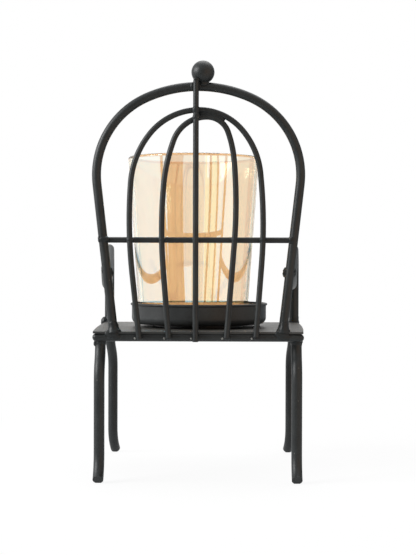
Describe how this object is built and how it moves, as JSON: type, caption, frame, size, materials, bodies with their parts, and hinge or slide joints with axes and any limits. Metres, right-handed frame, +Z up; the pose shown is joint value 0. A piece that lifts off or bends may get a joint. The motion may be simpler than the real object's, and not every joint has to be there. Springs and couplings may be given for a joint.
{
  "type": "candle holder",
  "caption": "Chair-shaped candle holder of black welded rod: birdcage back, plate seat and curved arms round a shallow tray that holds a loose tapered glass cup.",
  "frame": {"origin": "on the table under the middle of the chair", "axes": "+Z up, -Y towards the cage back as pictured, +Y towards the open front, +X to the picture's right"},
  "size_m": [0.1316, 0.1415, 0.2494],
  "materials": {
    "black_paint": "satin black paint over welded steel",
    "lustre_glass": "clear glass with a thin champagne lustre coat"
  },
  "bodies": {
    "chair": {"bow": "black_paint", "outer_hoop": "black_paint", "inner_hoop": "black_paint", "centre_rod": "black_paint", "cross_rod": "black_paint", "ball_finial": "black_paint", "seat_plate": "black_paint", "rear_rail": "black_paint", "front_rail": "black_paint", "left_rail": "black_paint", "right_rail": "black_paint", "left_rear_leg": "black_paint", "right_rear_leg": "black_paint", "left_front_leg": "black_paint", "right_front_leg": "black_paint", "left_arm": "black_paint", "right_arm": "black_paint", "tray": "black_paint", "bow_foot_welds": "black_paint", "leg_welds": "black_paint"},
    "glass": {"glass_cup": "lustre_glass"}
  },
  "joints": [
    {"name": "glass_lift", "type": "slide", "parent": "chair", "child": "glass", "axis": [0, 0, 1], "range_m": [0, 0.12]}
  ]
}
